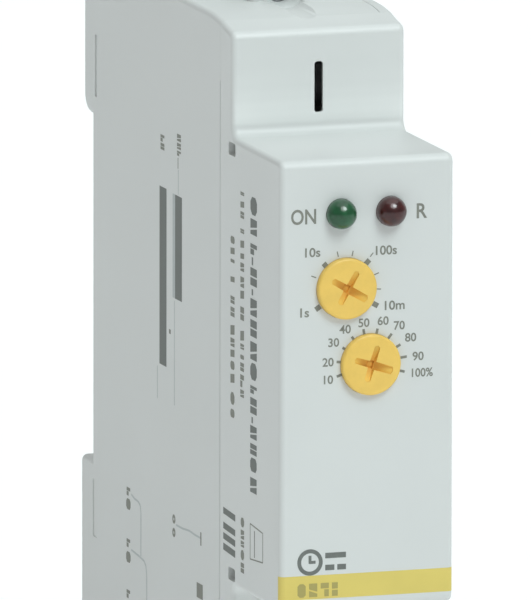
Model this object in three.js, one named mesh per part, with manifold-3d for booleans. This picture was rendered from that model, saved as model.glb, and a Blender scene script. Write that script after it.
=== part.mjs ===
// DIN rail timer: a one-module (18 mm) time relay for a 35 mm top-hat rail.
// Millimetres. X is the width, Y the depth (the front looks along -Y), Z is up.
// The origin is the centre of the plane that rests on the rail.
import * as THREE from "three";
import { mergeVertices } from "three/addons/utils/BufferGeometryUtils.js";
import Module from "manifold-3d";

const wasm = await Module();
wasm.setup();

// ---------------------------------------------------------------- dimensions
const WIDTH = 18; // one module, with both side skins
const HALF_W = WIDTH / 2;
const HALF_H = 45; // half of the 90 mm body
const NOSE_Y = -60.3; // front of the nose
const NOSE_Z = 22.5; // half of the 45 mm nose
const SHOULDER_Y = -45.1; // face of the front cover above and below the nose
const SHOULDER_Z = 33.0;
const SPLIT_Y = -41.35; // parting plane of front cover and housing
const TIER1_Z = 34.2; // top of the first terminal tier
const TIER2_Y = -27.0; // front of the second terminal tier
const BACK_TOP_Y = 2.7; // back of the hook side
const BACK_BOTTOM_Y = 3.7; // back of the clip side
const RAIL_Z = 17.6; // half of the rail recess
const WALL = 1.3;
const GAP = 0.3;
const HOUSING_X1 = 7.4; // open side of the housing
const COVER_X0 = HOUSING_X1 + GAP; // inner face of the side cover
const PEG_Y = [-36.5, -5.2]; // side cover pegs
const PEG_Z = 26.0;

const TROUGHS_X = [
  [-7.6, -6.3],
  [-5.5, 4.6],
]; // shallow troughs behind the front cover, round the screw tower
const TROUGH_Z = 33.4;
const TOWER_X = 3.4; // tower of the middle terminal screw
const TOWER_Y = -33.6;
const TOWER_Z = 38.2;

const MID_SCREW = { x: 0, y: -32.0, z: 34.8 }; // front of the screw head
const SIDE_SCREW = { x: 4.7, y: -25.4, z: 39.9 };
const HEAD_R = 2.3;
const HEAD_L = 1.8;
const SHANK_R = 1.45;
const SHANK_END = 8.2; // from the front of the head
const CAGE_X = 2.4;
const CAGE_Z = 2.2;
const CAGE_Y0 = 5.1;
const CAGE_Y1 = 13.4;
const CAGE_WIN_X = 1.7;
const CAGE_WIN_Y0 = 6.3;
const CAGE_WIN_Y1 = 12.4;
const BAR_Y0 = 8.5;
const BAR_Y1 = 9.3;
const BAR_X = 1.35;
const ACCESS_R = 1.95; // driver hole in front of each screw
const ENTRY = 2.25; // half side of a wire entry

const DIAL_R = 3.05;
const DIAL_FRONT = -61.0;
const DIAL_BACK = -58.1;
const DIAL_SHAFT_R = 1.15;
const RANGE_DIAL = { x: -2.2, z: 9.6, pointer: -30 };
const FINE_DIAL = { x: 0.3, z: 1.9, pointer: -18 };
const POT_HALF = 3.2;
const POT_Y0 = -57.4;
const POT_Y1 = -52.9;
const LED_R = 1.5;
const LED_X = 2.6;
const LED_Z = 17.05;
const LED_TIP = -62.1;

const MAIN_BOARD_X = [-6.7, -5.1];
const MAIN_BOARD_Z = 22;
const FRONT_BOARD_Y = [-52.6, -51.0];
const ON_BOARD = MAIN_BOARD_X[1] + GAP; // foot plane of what stands on the main board

const CLIP_LIP_Z = -16.0;
const CLIP_END_Z = -47.2;
const CLIP_X = 3.9;
const CLIP_RAIL_X = 5.1;
const CLIP_WIN_Z = [-39.7, -25.7];
const PEG_STOP_Z = [-39.4, -38.2];
const SPRING_Z = [-37.9, -26.0];
const SPRING_R = 1.1;
const SPRING_WIRE_R = 0.22;
const SPRING_Y = 1.85;

// ------------------------------------------------------------------- helpers
function solid(geometry) {
  const g = geometry.clone();
  g.deleteAttribute("normal");
  g.deleteAttribute("uv");
  const merged = mergeVertices(g, 1e-4);
  return new wasm.Manifold(
    new wasm.Mesh({
      numProp: 3,
      vertProperties: merged.attributes.position.array,
      triVerts: new Uint32Array(merged.index.array),
    }),
  );
}

function geometryOf(manifold) {
  const mesh = manifold.getMesh();
  const g = new THREE.BufferGeometry();
  g.setAttribute(
    "position",
    new THREE.BufferAttribute(new Float32Array(mesh.vertProperties), 3),
  );
  g.setIndex(new THREE.BufferAttribute(new Uint32Array(mesh.triVerts), 1));
  return g;
}

function outline(points) {
  return new THREE.Shape(points.map(([u, v]) => new THREE.Vector2(u, v)));
}

const flatExtrude = (shape, depth) =>
  new THREE.ExtrudeGeometry(shape, {
    depth,
    bevelEnabled: false,
    curveSegments: 6,
    steps: 1,
  });

// A (Y, Z) outline carried along X.
function alongX(points, x0, x1) {
  const g = flatExtrude(outline(points), x1 - x0);
  g.applyMatrix4(
    new THREE.Matrix4().set(0, 0, 1, x0, 1, 0, 0, 0, 0, 1, 0, 0, 0, 0, 0, 1),
  );
  return solid(g);
}

// An (X, Z) outline carried along Y.
function alongY(points, y0, y1) {
  const g = flatExtrude(outline(points), y1 - y0);
  g.applyMatrix4(
    new THREE.Matrix4().set(1, 0, 0, 0, 0, 0, -1, y1, 0, 1, 0, 0, 0, 0, 0, 1),
  );
  return solid(g);
}

// An (X, Y) outline carried along Z.

function box(x0, x1, y0, y1, z0, z1) {
  const g = new THREE.BoxGeometry(x1 - x0, y1 - y0, z1 - z0);
  g.translate((x0 + x1) / 2, (y0 + y1) / 2, (z0 + z1) / 2);
  return solid(g);
}

function rodY(x, z, r, y0, y1, sides = 20, r0 = r) {
  const g = new THREE.CylinderGeometry(r, r0, y1 - y0, sides);
  g.translate(x, (y0 + y1) / 2, z);
  return solid(g);
}

function rodX(y, z, r, x0, x1, sides = 16) {
  const g = new THREE.CylinderGeometry(r, r, x1 - x0, sides);
  g.rotateZ(-Math.PI / 2);
  g.translate((x0 + x1) / 2, y, z);
  return solid(g);
}

function rodZ(x, y, r, z0, z1, sides = 20) {
  const g = new THREE.CylinderGeometry(r, r, z1 - z0, sides);
  g.rotateX(Math.PI / 2);
  g.translate(x, y, (z0 + z1) / 2);
  return solid(g);
}

// A turned piece: (radius, y) pairs from the lowest y to the highest, about the Y axis.
function turned(profile, sides = 24) {
  return solid(
    new THREE.LatheGeometry(
      profile.map(([r, y]) => new THREE.Vector2(r, y)),
      sides,
    ),
  );
}

const join = (first, ...rest) => rest.reduce((a, b) => a.add(b), first);
const cut = (first, ...rest) => rest.reduce((a, b) => a.subtract(b), first);
const mirrorZ = (points, s) => points.map(([u, v]) => [u, s * v]);

const timer = new THREE.Group();
timer.name = "din_rail_timer";

function add(name, manifold, colour, roughness, metalness = 0, parent = timer) {
  const mesh = new THREE.Mesh(
    geometryOf(manifold),
    new THREE.MeshStandardMaterial({ color: colour, roughness, metalness }),
  );
  mesh.name = name;
  parent.add(mesh);
  return mesh;
}

const GREY_PLASTIC = 0xced6d4;
const YELLOW = 0xe0bf58;
const STEEL = 0xb9bcbe;
const BRASS = 0xc9a65a;
const COPPER = 0xb8693a;
const BOARD_GREEN = 0x2e6b45;

// ------------------------------------------------------------------- housing
const HOUSING_OUTLINE = [
  [SPLIT_Y + GAP / 2, 33.8],
  [-40.6, 33.95],
  [-37.0, TIER1_Z],
  [TIER2_Y, TIER1_Z],
  [TIER2_Y, 43.6],
  [-25.6, HALF_H],
  [1.2, HALF_H],
  [BACK_TOP_Y, 43.5],
  [BACK_TOP_Y, 18.8],
  [1.5, RAIL_Z],
  [0, RAIL_Z],
  [0, -RAIL_Z],
  [3.4, -RAIL_Z],
  [BACK_BOTTOM_Y, -17.9],
  [BACK_BOTTOM_Y, -43.5],
  [2.2, -HALF_H],
  [-25.6, -HALF_H],
  [TIER2_Y, -43.6],
  [TIER2_Y, -TIER1_Z],
  [-37.0, -TIER1_Z],
  [-40.6, -33.95],
  [SPLIT_Y + GAP / 2, -33.8],
];

const CAVITY_OUTLINE = [
  [-43, 30.9],
  [-28.3, 30.9],
  [TIER2_Y + WALL, 32.2],
  [TIER2_Y + WALL, 43.0],
  [-25.0, 43.7],
  [-2.0, 43.7],
  [-WALL, 43.0],
  [-WALL, -43.0],
  [-2.0, -43.7],
  [-25.0, -43.7],
  [TIER2_Y + WALL, -43.0],
  [TIER2_Y + WALL, -32.2],
  [-28.3, -30.9],
  [-43, -30.9],
];

function sideLatch(x0, x1, xTip, xRoot, s) {
  // springy arm with a tooth that snaps into the window of the front cover
  const lo = Math.min(x0, x1),
    hi = Math.max(x0, x1);
  return join(
    box(lo, hi, -45.9, -38, s > 0 ? 19.5 : -21.8, s > 0 ? 21.8 : -19.5),
    box(
      Math.min(xTip, x0),
      Math.max(xTip, x0),
      -45.7,
      -44.7,
      s > 0 ? 21.0 : -21.7,
      s > 0 ? 21.7 : -21.0,
    ),
    box(
      Math.min(xRoot, x1),
      Math.max(xRoot, x1),
      -40.6,
      -38,
      s > 0 ? 19.5 : -21.8,
      s > 0 ? 21.8 : -19.5,
    ),
  );
}

function makeHousing() {
  let body = alongX(HOUSING_OUTLINE, -HALF_W, HOUSING_X1);
  body = cut(body, alongX(CAVITY_OUTLINE, -HALF_W + WALL, HALF_W));
  for (const s of [1, -1]) {
    // troughs round the tower of the middle screw
    body = cut(
      body,
      ...TROUGHS_X.map(([x0, x1]) =>
        box(
          x0,
          x1,
          -41.1,
          TIER2_Y,
          s > 0 ? TROUGH_Z : -36,
          s > 0 ? 36 : -TROUGH_Z,
        ),
      ),
    );
    const tower = alongY(
      mirrorZ(
        [
          [-TOWER_X, 31],
          [TOWER_X, 31],
          [TOWER_X, TOWER_Z - 0.8],
          [TOWER_X - 0.8, TOWER_Z],
          [-TOWER_X + 0.8, TOWER_Z],
          [-TOWER_X, TOWER_Z - 0.8],
        ],
        s,
      ),
      TOWER_Y,
      TIER2_Y + 0.5,
    );
    body = body.add(tower);
    // middle screw: driver hole with a bevelled mouth, head pocket, cage pocket
    const zm = s * MID_SCREW.z;
    body = cut(
      body,
      rodY(0, zm, ACCESS_R, TOWER_Y - 1, -32, 20),
      rodY(0, zm, ACCESS_R, TOWER_Y - 0.01, TOWER_Y + 0.35, 20, ACCESS_R + 0.35),
      rodY(0, zm, HEAD_R + GAP, -32.3, -29.6, 20),
      box(
        -CAGE_X - GAP,
        CAGE_X + GAP,
        -30.2,
        TIER2_Y + WALL + 0.1,
        zm - CAGE_Z - GAP,
        zm + CAGE_Z + GAP,
      ),
    );
    for (const x of [-SIDE_SCREW.x, SIDE_SCREW.x]) {
      body = cut(
        body,
        rodY(x, s * SIDE_SCREW.z, ACCESS_R, TIER2_Y - 1, -25, 20),
        rodY(
          x,
          s * SIDE_SCREW.z,
          ACCESS_R,
          TIER2_Y - 0.01,
          TIER2_Y + 0.35,
          20,
          ACCESS_R + 0.35,
        ),
      );
    }
    // wire entries
    const top = s > 0 ? [42, 46] : [-46, -42];
    const wireMid = MID_SCREW.y + (BAR_Y1 + CAGE_WIN_Y1) / 2;
    const wireSide = SIDE_SCREW.y + (BAR_Y1 + CAGE_WIN_Y1) / 2;
    body = cut(
      body,
      box(-ENTRY, ENTRY, wireMid - ENTRY, wireMid + ENTRY, ...top),
      ...[-SIDE_SCREW.x, SIDE_SCREW.x].map((x) =>
        box(x - ENTRY, x + ENTRY, wireSide - ENTRY, wireSide + ENTRY, ...top),
      ),
    );
    // posts that take the pegs of the side cover
    for (const y of PEG_Y) {
      body = body.add(
        rodX(y, s * PEG_Z, 2.2, -HALF_W + WALL - 0.1, HOUSING_X1, 16),
      );
      body = cut(body, rodX(y, s * PEG_Z, 1.2, 4.6, HALF_W, 12));
    }
    // latch arm on the closed side
    body = body.add(sideLatch(-7.5, -7.0, -8.7, -7.8, s));
    // shallow moulded groove beside the rail
    body = cut(
      body,
      box(
        -HALF_W - 1,
        -HALF_W + 0.15,
        -1.65,
        -0.95,
        s > 0 ? 19.6 : -25.3,
        s > 0 ? 25.9 : -19.3,
      ),
    );
    // relief under the hook and under the clip lip
    body = cut(
      body,
      box(-5.2, 5.2, -0.3, 0.5, s > 0 ? 15.3 : -RAIL_Z, s > 0 ? RAIL_Z : -15.3),
    );
  }
  // the board leans on two ribs
  for (const y of [-36, -12])
    body = body.add(box(-HALF_W + WALL - 0.1, -7.0, y, y + 1.2, -20, 20));
  // fixed hook
  body = body.add(
    alongX(
      [
        [1.25, 18.6],
        [1.25, 16.6],
        [1.55, 16.3],
        [2.2, 16.3],
        [BACK_TOP_Y, 16.8],
        [BACK_TOP_Y, 19.2],
      ],
      -5,
      5,
    ),
  );
  // slideway of the clip, with the stop that carries the spring
  body = cut(
    body,
    box(-5.4, 5.4, 0, 1.6, -46, -RAIL_Z + 0.01),
    box(-4.2, 4.2, 0, 4.5, -46, -RAIL_Z + 0.01),
  );
  body = body.add(box(-1.2, 1.2, -0.2, 3.1, ...PEG_STOP_Z));
  return body;
}
add("main_housing", makeHousing(), GREY_PLASTIC, 0.55);

// ---------------------------------------------------------------- side cover
function makeSideCover() {
  let plate = alongX(HOUSING_OUTLINE, COVER_X0, HALF_W);
  for (const s of [1, -1]) {
    for (const y of PEG_Y)
      plate = plate.add(rodX(y, s * PEG_Z, 0.9, 5.2, COVER_X0 + 0.1, 12));
    plate = plate.add(sideLatch(7.5, 7.0, 8.7, 7.8, s));
    plate = cut(
      plate,
      box(
        HALF_W - 0.15,
        HALF_W + 1,
        -1.65,
        -0.95,
        s > 0 ? 19.6 : -25.3,
        s > 0 ? 25.9 : -19.3,
      ),
    );
  }
  return plate;
}
add("side_cover", makeSideCover(), GREY_PLASTIC, 0.55);

// --------------------------------------------------------------- front cover
function makeFrontCover() {
  const back = SPLIT_Y - GAP / 2;
  const r = 0.5; // broken edge of the nose
  let shell = alongX(
    [
      [back, 33.72],
      [-43.25, 33.34],
      [SHOULDER_Y + 0.35, SHOULDER_Z],
      [SHOULDER_Y, SHOULDER_Z - 0.35],
      [SHOULDER_Y, NOSE_Z],
      [NOSE_Y + r, NOSE_Z],
      [NOSE_Y, NOSE_Z - r],
      [NOSE_Y, -NOSE_Z + r],
      [NOSE_Y + r, -NOSE_Z],
      [SHOULDER_Y, -NOSE_Z],
      [SHOULDER_Y, -SHOULDER_Z + 0.35],
      [SHOULDER_Y + 0.35, -SHOULDER_Z],
      [-43.25, -33.34],
      [back, -33.72],
    ],
    -HALF_W,
    HALF_W,
  );
  shell = cut(
    shell,
    alongX(
      [
        [-30, 31.9],
        [-43.8, 31.7],
        [-43.8, 21.2],
        [-58.8, 21.2],
        [-58.8, -21.2],
        [-43.8, -21.2],
        [-43.8, -31.7],
        [-30, -31.9],
      ],
      -HALF_W + 1.2,
      HALF_W - 1.2,
    ),
    rodY(RANGE_DIAL.x, RANGE_DIAL.z, DIAL_R + GAP, -62, -58, 28),
    rodY(FINE_DIAL.x, FINE_DIAL.z, DIAL_R + GAP, -62, -58, 28),
    rodY(-LED_X, LED_Z, LED_R + GAP, -62, -58, 20),
    rodY(LED_X, LED_Z, LED_R + GAP, -62, -58, 20),
  );
  for (const s of [1, -1]) {
    // release slot in the shoulder
    shell = cut(
      shell,
      box(-0.45, 0.45, -47, -43, s > 0 ? 24.6 : -29.7, s > 0 ? 29.7 : -24.6),
    );
    // snap windows in both sides
    for (const x of [-HALF_W, HALF_W])
      shell = cut(
        shell,
        box(x - 1.5, x + 1.5, -46.1, -44.1, s > 0 ? 20.7 : -22, s > 0 ? 22 : -20.7),
      );
  }
  // pockets for the latch arms that reach into the windows
  for (const s of [1, -1])
    for (const side of [1, -1])
      shell = cut(
        shell,
        box(
          side > 0 ? 6.7 : -7.81,
          side > 0 ? 7.81 : -6.7,
          -46.2,
          -43.5,
          s > 0 ? 19.2 : -22.1,
          s > 0 ? 22.1 : -19.2,
        ),
      );
  return shell;
}
add("front_cover", makeFrontCover(), GREY_PLASTIC, 0.5);

// -------------------------------------------------------------------- boards
add(
  "main_circuit_board",
  box(...MAIN_BOARD_X, -50.5, -3.0, -MAIN_BOARD_Z + 3.2, MAIN_BOARD_Z - 3.2)
    .add(box(...MAIN_BOARD_X, -37.5, -3.0, -MAIN_BOARD_Z, MAIN_BOARD_Z)),
  BOARD_GREEN,
  0.45,
);
add(
  "front_circuit_board",
  box(-7.2, 7.2, ...FRONT_BOARD_Y, -4, 20.5),
  BOARD_GREEN,
  0.45,
);
add(
  "board_link_header",
  box(ON_BOARD, -2.3, -50.7, -46.9, 8.2, 18.0),
  0x22252a,
  0.5,
);

// -------------------------------------------------------- dials, pots, lamps
function makeDial() {
  let dial = turned([
    [0, DIAL_FRONT],
    [DIAL_R - 0.2, DIAL_FRONT],
    [DIAL_R, DIAL_FRONT + 0.2],
    [DIAL_R, DIAL_BACK],
    [DIAL_SHAFT_R, DIAL_BACK],
    [DIAL_SHAFT_R, -53.4],
    [0, -53.4],
  ], 28);
  return cut(
    dial,
    box(-1.55, 2.2, DIAL_FRONT - 1, DIAL_FRONT + 0.6, -0.26, 0.26),
    box(-0.26, 0.26, DIAL_FRONT - 1, DIAL_FRONT + 0.6, -1.55, 1.55),
  );
}
function makePot() {
  return cut(
    box(-POT_HALF, POT_HALF, POT_Y0, POT_Y1, -POT_HALF, POT_HALF),
    rodY(0, 0, DIAL_SHAFT_R + GAP, POT_Y0 - 1, -53.1, 20),
  );
}
for (const [label, d] of [
  ["range", RANGE_DIAL],
  ["fine", FINE_DIAL],
]) {
  const group = new THREE.Group();
  group.position.set(d.x, 0, d.z);
  timer.add(group);
  const knob = add(label + "_dial", makeDial(), YELLOW, 0.5, 0, group);
  // seen from the front an angle grows anticlockwise, which is about -Y
  knob.rotation.y = -(d.pointer * Math.PI) / 180;
  add(label + "_potentiometer", makePot(), 0x2a4f86, 0.4, 0, group);
}

function makeLamp() {
  const c = LED_TIP + LED_R;
  const dome = [[0, LED_TIP]];
  for (let i = 1; i <= 5; i++) {
    const a = (i / 5) * (Math.PI / 2);
    dome.push([LED_R * Math.sin(a), c - LED_R * Math.cos(a)]);
  }
  return join(
    turned(
      [...dome, [LED_R, -57.2], [1.9, -57.2], [1.9, -56.2], [0, -56.2]],
      20,
    ),
    box(-0.9, -0.4, -56.3, -52.9, -0.25, 0.25),
    box(0.4, 0.9, -56.3, -52.9, -0.25, 0.25),
  );
}
for (const [name, x, colour] of [
  ["power_led_green", -LED_X, 0x3b604b],
  ["relay_led_red", LED_X, 0x8a3733],
]) {
  add(name, makeLamp(), colour, 0.15).position.set(x, 0, LED_Z);
}

// ----------------------------------------------------------------- terminals
function makeScrew() {
  return cut(
    turned([
      [0, 0],
      [HEAD_R - 0.2, 0],
      [HEAD_R, 0.2],
      [HEAD_R, HEAD_L],
      [SHANK_R, HEAD_L],
      [SHANK_R, SHANK_END - 0.4],
      [SHANK_R - 0.4, SHANK_END],
      [0, SHANK_END],
    ], 20),
    box(-1.5, 1.5, -1, 0.9, -0.35, 0.35),
    box(-0.35, 0.35, -1, 0.9, -1.5, 1.5),
  );
}
function makeCage() {
  return cut(
    box(-CAGE_X, CAGE_X, CAGE_Y0, CAGE_Y1, -CAGE_Z, CAGE_Z),
    box(-CAGE_WIN_X, CAGE_WIN_X, CAGE_WIN_Y0, CAGE_WIN_Y1, -5, 5),
    rodY(0, 0, SHANK_R + GAP, 4, 7, 20),
  );
}
// Flat bars: they stand in the cage and run to a foot at the main board.
const FOOT_X = ON_BOARD + 1.4;
const BAR_OUTLINES = {
  middle: [
    [-BAR_X, 37.4],
    [BAR_X, 37.4],
    [BAR_X, 25.5],
    [FOOT_X, 25.5],
    [FOOT_X, 18],
    [ON_BOARD, 18],
    [ON_BOARD, 27.5],
    [-BAR_X, 27.5],
  ],
  left: [
    [-4.7 - BAR_X, 42.5],
    [-4.7 + BAR_X, 42.5],
    [-4.7 + BAR_X, 18],
    [ON_BOARD, 18],
    [ON_BOARD, 23],
    [-4.7 - BAR_X, 23],
  ],
  right: [
    [4.7 - BAR_X, 42.5],
    [4.7 + BAR_X, 42.5],
    [4.7 + BAR_X, 15.2],
    [ON_BOARD, 15.2],
    [ON_BOARD, 17.2],
    [4.7 - BAR_X, 17.2],
  ],
};
for (const [row, s] of [
  ["top", 1],
  ["bottom", -1],
]) {
  for (const [place, spot, x] of [
    ["left", SIDE_SCREW, -SIDE_SCREW.x],
    ["right", SIDE_SCREW, SIDE_SCREW.x],
    ["middle", MID_SCREW, 0],
  ]) {
    const terminal = new THREE.Group();
    terminal.position.set(x, spot.y, s * spot.z);
    timer.add(terminal);
    const screw = add(
      `terminal_screw_${row}_${place}`,
      makeScrew(),
      STEEL,
      0.35,
      1,
      terminal,
    );
    screw.rotation.y = Math.PI / 7;
    add(
      `clamp_cage_${row}_${place}`,
      makeCage(),
      STEEL,
      0.4,
      1,
      terminal,
    );
    add(
      `contact_bar_${row}_${place}`,
      alongY(
        mirrorZ(BAR_OUTLINES[place], s),
        spot.y + BAR_Y0,
        spot.y + BAR_Y1,
      ),
      COPPER,
      0.35,
      1,
    );
  }
}

// ------------------------------------------------------------------ rail clip
function makeClip() {
  let clip = join(
    // body with the lip that grips behind the rail
    alongX(
      [
        [1.3, -17.4],
        [1.3, CLIP_LIP_Z],
        [1.7, CLIP_LIP_Z],
        [BACK_BOTTOM_Y, -18.2],
        [BACK_BOTTOM_Y, CLIP_END_Z + 0.4],
        [3.3, CLIP_END_Z],
        [1.0, CLIP_END_Z],
        [1.0, -17.9],
      ],
      -CLIP_X,
      CLIP_X,
    ),
    box(-CLIP_RAIL_X, CLIP_RAIL_X, GAP, 1.3, -44.4, -17.9),
    box(-CLIP_X, CLIP_X, GAP, 1.3, CLIP_END_Z, -44),
  );
  return cut(
    clip,
    box(-1.9, 1.9, -1, 5, ...CLIP_WIN_Z), // spring window
    box(-2.2, 2.2, 2.2, 5, -46.0, -43.2), // pocket for the blade of a screwdriver
  );
}
add("din_clip", makeClip(), 0xc3cbc9, 0.5);

function makeSpring() {
  const TURNS = 7;
  const STEPS = TURNS * 9;
  const points = [];
  const z0 = SPRING_Z[0] + SPRING_WIRE_R;
  const z1 = SPRING_Z[1] - SPRING_WIRE_R;
  for (let i = 0; i <= STEPS; i++) {
    const a = (i / STEPS) * TURNS * 2 * Math.PI;
    points.push(
      new THREE.Vector3(
        SPRING_R * Math.cos(a),
        SPRING_Y + SPRING_R * Math.sin(a),
        z0 + ((z1 - z0) * i) / STEPS,
      ),
    );
  }
  const section = [];
  for (let i = 0; i < 6; i++)
    section.push([
      SPRING_WIRE_R * Math.cos((i * Math.PI) / 3),
      SPRING_WIRE_R * Math.sin((i * Math.PI) / 3),
    ]);
  return solid(
    new THREE.ExtrudeGeometry(outline(section), {
      steps: STEPS,
      extrudePath: new THREE.CatmullRomCurve3(points),
      bevelEnabled: false,
    }),
  );
}
add("clip_spring", makeSpring(), STEEL, 0.3, 1);

// --------------------------------------------------------------------- relay
const R = { x: 1.6, y: -15.2 }; // coil axis, along Z
add(
  "relay_case",
  cut(
    box(ON_BOARD, 7.2, -22.0, -6.5, -14.5, 14.5),
    box(ON_BOARD - 1, 6.5, -21.3, -7.2, -13.8, 13.8),
  ),
  0x25282c,
  0.4,
);
add("relay_base", box(ON_BOARD, -3.8, -21.0, -7.5, -13.5, 13.5), 0x1d1f22, 0.5);
add(
  "relay_bobbin",
  cut(
    join(
      rodZ(R.x, R.y, 4.2, -11.0, -10.0, 20),
      rodZ(R.x, R.y, 2.3, -10.5, 4.5, 20),
      rodZ(R.x, R.y, 4.2, 4.0, 5.0, 20),
    ),
    rodZ(R.x, R.y, 1.7, -12, 6, 16),
  ),
  0xe8e4d6,
  0.5,
);
add(
  "relay_winding",
  cut(
    rodZ(R.x, R.y, 3.8, -9.7, 3.7, 20),
    rodZ(R.x, R.y, 2.6, -12, 6, 20),
  ),
  COPPER,
  0.35,
  0.8,
);
add(
  "relay_core",
  join(rodZ(R.x, R.y, 1.4, -12.2, 5.6, 16), rodZ(R.x, R.y, 2.5, 5.3, 6.0, 20)),
  STEEL,
  0.4,
  1,
);
add(
  "relay_yoke",
  cut(
    join(
      box(-1.4, 4.6, -19.2, -9.0, -12.3, -11.3),
      box(-1.4, 4.6, -10.2, -9.0, -12.3, 6.0),
    ),
    rodZ(R.x, R.y, 1.7, -14, -10, 16),
  ),
  STEEL,
  0.45,
  1,
);
add("relay_armature", box(-1.4, 4.6, -19.0, -8.8, 6.6, 7.6), STEEL, 0.4, 1);
add(
  "relay_moving_contact",
  join(
    box(0.6, 2.6, -19.6, -13.0, 7.9, 8.2),
    box(0.6, 2.6, -19.6, -19.3, 7.9, 12.4),
    rodY(1.6, 11.4, 0.9, -19.9, -19.0, 12),
  ),
  BRASS,
  0.35,
  1,
);
add(
  "relay_contact_nc",
  join(
    box(-3.5, 2.6, -18.4, -18.0, 10.3, 12.5),
    rodY(1.6, 11.4, 0.9, -18.7, -18.3, 12),
  ),
  BRASS,
  0.35,
  1,
);
add(
  "relay_contact_no",
  join(
    box(-3.5, 2.6, -20.95, -20.55, 10.3, 12.5),
    rodY(1.6, 11.4, 0.9, -20.6, -20.3, 12),
  ),
  BRASS,
  0.35,
  1,
);

// ----------------------------------------------------- parts of the main board
add(
  "electrolytic_capacitor",
  join(
    rodX(-30.5, -14.5, 4.0, -4.2, 6.7, 24),
    box(ON_BOARD, -4.0, -32.2, -31.6, -14.8, -14.2),
    box(ON_BOARD, -4.0, -29.4, -28.8, -14.8, -14.2),
  ),
  0x1f2a44,
  0.4,
);
add("film_capacitor", box(ON_BOARD, 5.6, -33.6, -27.0, -5.5, 8.5), 0xb8452f, 0.45);
add(
  "varistor",
  join(
    rodY(0.9, 19.8, 4.2, -12.6, -9.2, 24),
    box(ON_BOARD, -2.2, -11.2, -10.6, 17.2, 17.8),
    box(ON_BOARD, -2.2, -11.2, -10.6, 20.6, 21.2),
  ),
  0x2f62a0,
  0.45,
);
add("bridge_rectifier", box(ON_BOARD, -2.3, -45.2, -38.7, -17.5, -11.0), 0x222426, 0.5);
add("controller_chip", box(ON_BOARD, -3.3, -45.5, -39.5, -4.5, 5.5), 0x1b1d1f, 0.45);

export default timer;
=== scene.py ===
import math
import random

import bmesh
import bpy
from mathutils import Matrix, Vector


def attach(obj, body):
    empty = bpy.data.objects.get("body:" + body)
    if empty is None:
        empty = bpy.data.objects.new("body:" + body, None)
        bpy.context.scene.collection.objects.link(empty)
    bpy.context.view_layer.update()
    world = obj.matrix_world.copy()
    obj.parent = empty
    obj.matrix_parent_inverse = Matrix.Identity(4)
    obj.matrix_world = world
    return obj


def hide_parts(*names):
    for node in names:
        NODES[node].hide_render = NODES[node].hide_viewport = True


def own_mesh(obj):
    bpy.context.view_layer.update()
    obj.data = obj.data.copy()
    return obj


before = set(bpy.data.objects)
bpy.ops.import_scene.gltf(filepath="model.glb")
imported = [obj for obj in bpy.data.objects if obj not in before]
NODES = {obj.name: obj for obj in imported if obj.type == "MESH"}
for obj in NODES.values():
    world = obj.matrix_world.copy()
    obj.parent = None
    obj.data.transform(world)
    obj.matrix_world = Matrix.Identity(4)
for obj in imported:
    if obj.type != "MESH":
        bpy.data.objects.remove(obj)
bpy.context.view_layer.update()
scene = bpy.context.scene
MM = 0.001

# ------------------------------------------------------------------ camera
RIGHT = Vector((0.94963, -0.31337, 0.00128)).normalized()
BACK = Vector((-0.30881, -0.93512, 0.17375)).normalized()
UP = BACK.cross(RIGHT).normalized()
AIM = Vector((-0.58, -30.15, 3.27)) * MM
DIST = 2.5
cam_data = bpy.data.cameras.new("camera")
cam = bpy.data.objects.new("camera", cam_data)
scene.collection.objects.link(cam)
cam_data.type = "PERSP"
cam_data.sensor_width = 36
cam_data.lens = 1507.5
cam_data.clip_start, cam_data.clip_end = 0.05, 20
cam.matrix_world = Matrix.Translation(AIM + BACK * DIST) @ Matrix(
    (
        (RIGHT.x, UP.x, BACK.x, 0),
        (RIGHT.y, UP.y, BACK.y, 0),
        (RIGHT.z, UP.z, BACK.z, 0),
        (0, 0, 0, 1),
    )
)
scene.camera = cam
scene.view_settings.view_transform = "Standard"
scene.view_settings.look = "None"


# ----------------------------------------------------------- mesh helpers (mm)
def new_object(name, bm):
    bmesh.ops.recalc_face_normals(bm, faces=bm.faces[:])
    me = bpy.data.meshes.new(name)
    bm.to_mesh(me)
    bm.free()
    o = bpy.data.objects.new(name, me)
    scene.collection.objects.link(o)
    return o


def prism(points, axis, a, b, r=0.0, pick=None, seg=5):
    """Closed prism of a 2-D outline along an axis; edges that pick() accepts are rounded by r."""
    bm = bmesh.new()

    def place(u, v, w):
        if axis == "X":
            return (w, u, v)
        if axis == "Y":
            return (u, w, v)
        return (u, v, w)

    lo = [bm.verts.new(place(u, v, a)) for u, v in points]
    hi = [bm.verts.new(place(u, v, b)) for u, v in points]
    n = len(points)
    bm.faces.new(lo)
    bm.faces.new(list(reversed(hi)))
    for i in range(n):
        j = (i + 1) % n
        bm.faces.new((lo[i], lo[j], hi[j], hi[i]))
    bmesh.ops.recalc_face_normals(bm, faces=bm.faces[:])
    if r > 0:
        edges = [e for e in bm.edges if pick is None or pick(*[v.co for v in e.verts])]
        bmesh.ops.bevel(
            bm,
            geom=edges,
            offset=r,
            offset_type="OFFSET",
            segments=seg,
            profile=0.5,
            affect="EDGES",
            clamp_overlap=False,
        )
    return new_object("tmp", bm)


def block(x0, x1, y0, y1, z0, z1, r=0.0, pick=None, seg=3):
    return prism([(y0, z0), (y1, z0), (y1, z1), (y0, z1)], "X", x0, x1, r, pick, seg)


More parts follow.
